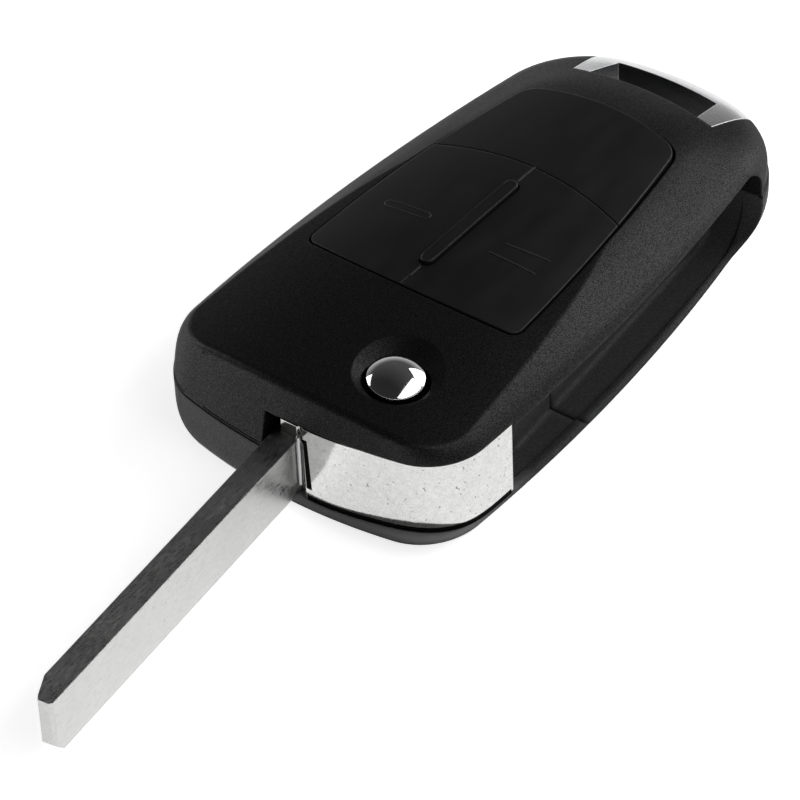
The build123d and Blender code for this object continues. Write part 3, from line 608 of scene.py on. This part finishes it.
def key_details():
    """The divider between the keys, before and behind the rib, and the rib's soft rim."""
    for name, x0, x1 in (("divider_front", PAD_FRONT_X, RIB_ENDS[0] - DIVIDER_GAP),
                         ("divider_rear", RIB_ENDS[1] + DIVIDER_GAP, KEYS_REAR_X)):
        path = [(x, 0.0, crown_z(x, 0.0) + DIVIDER_LIFT) for x in spread(x0, x1, 9)]
        bead(name, path, *DIVIDER_BEAD, "case", "pad_plate")
    ends = [(RIB_ENDS[1] - RIB_HALF, 0.0), (RIB_ENDS[0] + RIB_HALF, 0.0)]
    plan = stadium(ends, RIB_HALF - RIM_INSET, -pi / 2, arc_points=17)
    path = lay_on(surface("pad_plate", "lock_button", "unlock_button"), plan, -RIM_SINK)
    bead("rib_rim", path, *RIM_BEAD, "case", "pad_plate", loop=True)


def key_signs():
    """Plain generic signs: a closed bar on one key and two open strokes on the other."""
    keys = surface("lock_button", "unlock_button")
    x, y = BAR_MIDDLE
    radius, reach = BAR_HALF
    plan = stadium([(x, y + reach), (x, y - reach)], radius, 0.0, arc_points=9, side_points=7)
    bead("lock_sign", lay_on(keys, plan), *BAR_BEAD, "lock_key", "lock_button", loop=True)
    for name, (x0, y0), (x1, y1) in STROKES:
        plan = list(zip(spread(x0, x1, 13), spread(y0, y1, 13)))
        bead(name, lay_on(keys, plan), *STROKE_BEAD, "unlock_key", "unlock_button")


# The hub, where the blade leaves it

SHOULDER_LOW = (-33.3, -0.65, 8.78)
SHOULDER_HIGH = (-32.0, 1.6, 10.5)
SHOULDER_SOFT = 0.15        # its edges' rounding
RIDGE_AT = (-33.6, -0.98)   # X and Y of the ridge's axis
RIDGE_Z = (3.4, 9.4)        # the centres of its rounded ends
RIDGE_R = 0.28
# the slot's painted shade: its heights, its sides, and how far it stands proud and sinks
SLOT_Z = (3.4, 9.7)
SLOT_LEFT_Y = -1.3
SLOT_RIGHT_Y = (-2.5, -2.2)         # at its foot and at its top
SLOT_PROUD = 0.03           # its face, in front of the hub's
SLOT_DEEP = 0.1             # its root, behind the hub's face
FOOT_TURNS = (-218, -64)    # degrees round the pivot
FOOT_HEIGHTS = (1.92, 2.2, 2.5)     # the strip's foot, middle and top
FOOT_END_Y = -1.6           # it ends here, short of the blade


def hub_shoulder():
    """The block beside the blade's root."""
    (x0, y0, z0), (x1, y1, z1) = SHOULDER_LOW, SHOULDER_HIGH
    rings = [[(x0, y0, z), (x1, y0, z), (x1, y1, z), (x0, y1, z)] for z in (z0, z1)]
    piece = skin("hub_shoulder", rings, HUB_METAL, "hub")
    edge = piece.modifiers.new("soft_edges", "BEVEL")
    edge.width = SHOULDER_SOFT * MM
    edge.segments = 3


def hub_ridge():
    """An upright bar with rounded ends."""
    x, y = RIDGE_AT
    rings = []
    for z, tilts in zip(RIDGE_Z, ((-80, 0), (0, 80))):
        for tilt in spread(*tilts, 6):
            out, up = RIDGE_R * cos(radians(tilt)), RIDGE_R * sin(radians(tilt))
            rings.append([(x + out * c, y + out * s, z + up) for c, s in compass(16)])
    skin("hub_ridge", rings, PLAIN_STEEL, "hub")


def hub_slot_shade():
    """Painted shade of the slot beside the ridge: a dark strip laid on the hub's face."""
    hub = surface("flip_hub")
    levels = 12
    rings = []
    for z, right_y in zip(spread(*SLOT_Z, levels), spread(*SLOT_RIGHT_Y, levels)):
        face = [cast(hub, Vector((-FAR, y, z)), Vector((1, 0, 0)))
                for y in spread(SLOT_LEFT_Y, right_y, 5)]
        rings.append([point - Vector((SLOT_PROUD, 0, 0)) for point in face]
                     + [point + Vector((SLOT_DEEP, 0, 0)) for point in reversed(face)])
    skin("hub_slot_shade", rings, PAINTED_SHADE_BLACK, "hub")


def hub_foot():
    """The shadow line round the hub's foot, above the ledge."""
    hub = surface("flip_hub")
    rings = []
    for degrees in spread(*FOOT_TURNS, 61):
        out = Vector((cos(radians(degrees)), sin(radians(degrees)), 0))
        point = cast(hub, Vector((*PIVOT, FOOT_HEIGHTS[1])) + out * FAR, -out)
        if point is not None and point.y < FOOT_END_Y:
            rings.append(strip_ring(point, out, 0.0, FOOT_HEIGHTS))
    skin("hub_foot", rings, PAINTED_SHADE_BLACK, "hub")


# Floor, light and camera: lengths in metres

FLOOR_HALF = 3.0

# The tent's grey by height, and its strength, which grows over a range of X
TENT_GREYS = [(0.0, 0.55), (0.08, 0.5), (0.25, 0.3), (0.45, 0.08), (1.0, 0.06)]
TENT_SIDE = (-0.2, 0.6)
TENT_STRENGTH = (0.35, 1.0)

# Each soft box's name, direction, distance, width, height and power
SOFT_BOXES = (
    ("right_box", (0.84, -0.33, 0.42), 0.6, 0.40, 0.40, 1.5),
    ("front_box", (0.09, -0.67, 0.74), 0.62, 0.80, 0.30, 1.6),
    ("left_box", (-0.25, 0.90, 0.33), 0.6, 0.26, 0.26, 0.6),
)


def floor():
    """The board that the key lies on."""
    mesh = bpy.data.meshes.new("floor")
    signs = ((-1, -1), (1, -1), (1, 1), (-1, 1))
    mesh.from_pydata([(x * FLOOR_HALF, y * FLOOR_HALF, 0) for x, y in signs], [], [(0, 1, 2, 3)])
    mesh.materials.append(pale_floor("studio_floor"))
    board = bpy.data.objects.new("floor", mesh)
    board.location.z = CAD_BOX[0][2]
    scene.collection.objects.link(board)


def tent():
    """A white tent that is dark overhead and dimmer towards the blade's tip."""
    world = bpy.data.worlds.new("studio")
    world.use_nodes = True
    tree = world.node_tree
    parts = place_parts(tree, "Generated")
    fill(tree, tree.nodes["Background"], {
        "Color": ramp(tree, parts["Z"], TENT_GREYS),
        "Strength": span(tree, parts["X"], TENT_SIDE, TENT_STRENGTH),
    })
    scene.world = world


def soft_box(name, direction, distance, width, height, power):
    """A rectangular light that points at the origin."""
    data = bpy.data.lights.new(name, "AREA")
    data.shape = "RECTANGLE"
    data.size = width
    data.size_y = height
    data.energy = power
    lamp = bpy.data.objects.new(name, data)
    lamp.location = Vector(direction) * distance
    lamp.rotation_euler = (-lamp.location).to_track_quat("-Z", "Y").to_euler()
    scene.collection.objects.link(lamp)


def camera():
    """The camera at the photograph's viewpoint."""
    data = bpy.data.cameras.new("camera")
    data.sensor_width = CAMERA_SENSOR
    data.lens = CAMERA_LENS
    data.clip_start, data.clip_end = CAMERA_CLIP
    cam = bpy.data.objects.new("camera", data)
    back = CAMERA_BACK.normalized()
    right = (CAMERA_RIGHT - back * CAMERA_RIGHT.dot(back)).normalized()
    turn = Matrix((right, back.cross(right), back)).transposed().to_4x4()
    cam.matrix_world = Matrix.Translation(CAMERA_PLACE) @ turn
    scene.collection.objects.link(cam)
    scene.camera = cam


dress_nodes()
domed_cap()
parting_shadow()
key_details()
hub_shoulder()
hub_ridge()
hub_slot_shade()
hub_foot()
key_signs()
floor()
tent()
for box in SOFT_BOXES:
    soft_box(*box)
camera()
scene.view_settings.view_transform = "Standard"
